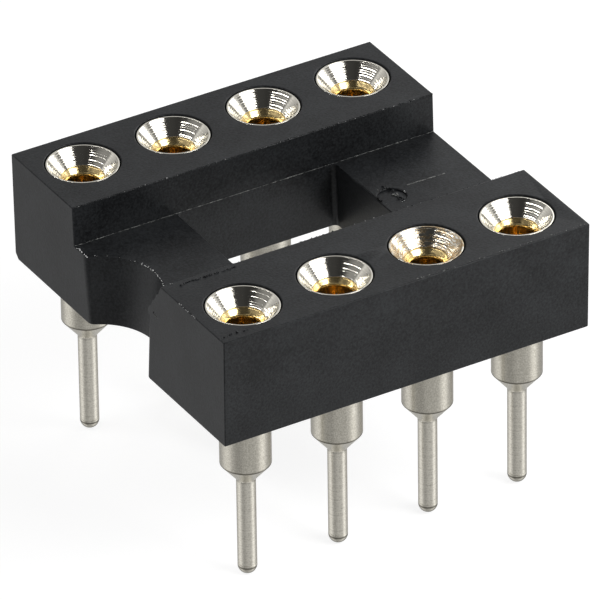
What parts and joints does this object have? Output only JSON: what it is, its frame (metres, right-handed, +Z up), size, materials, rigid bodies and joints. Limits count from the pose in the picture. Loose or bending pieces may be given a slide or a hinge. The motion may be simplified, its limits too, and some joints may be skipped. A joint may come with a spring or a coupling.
{
  "type": "dual in-line integrated circuit socket",
  "caption": "Open-frame dual in-line chip socket: black moulded insulator with raised rails, turned tin-plated contact sleeves with solder tails, gold-plated spring clips inside.",
  "frame": {"origin": "centre of the contact pattern, at the roots of the solder tails, where the top face of a board lies", "axes": "+X along the rows, away from the end with the index notch; +Y across the rows; +Z up, out of the contacts' funnels"},
  "size_m": [0.0102, 0.0102, 0.0076],
  "materials": {
    "moulded_polyester": "matt black glass-filled moulding",
    "tin_plate": "satin tin plate over turned brass",
    "gold_plate": "bright gold plate over spring copper alloy"
  },
  "bodies": {
    "root": {"housing": "moulded_polyester", "sleeve_1": "tin_plate", "sleeve_2": "tin_plate", "sleeve_3": "tin_plate", "sleeve_4": "tin_plate", "sleeve_5": "tin_plate", "sleeve_6": "tin_plate", "sleeve_7": "tin_plate", "sleeve_8": "tin_plate", "clip_1": "gold_plate", "clip_2": "gold_plate", "clip_3": "gold_plate", "clip_4": "gold_plate", "clip_5": "gold_plate", "clip_6": "gold_plate", "clip_7": "gold_plate", "clip_8": "gold_plate"}
  },
  "joints": []
}
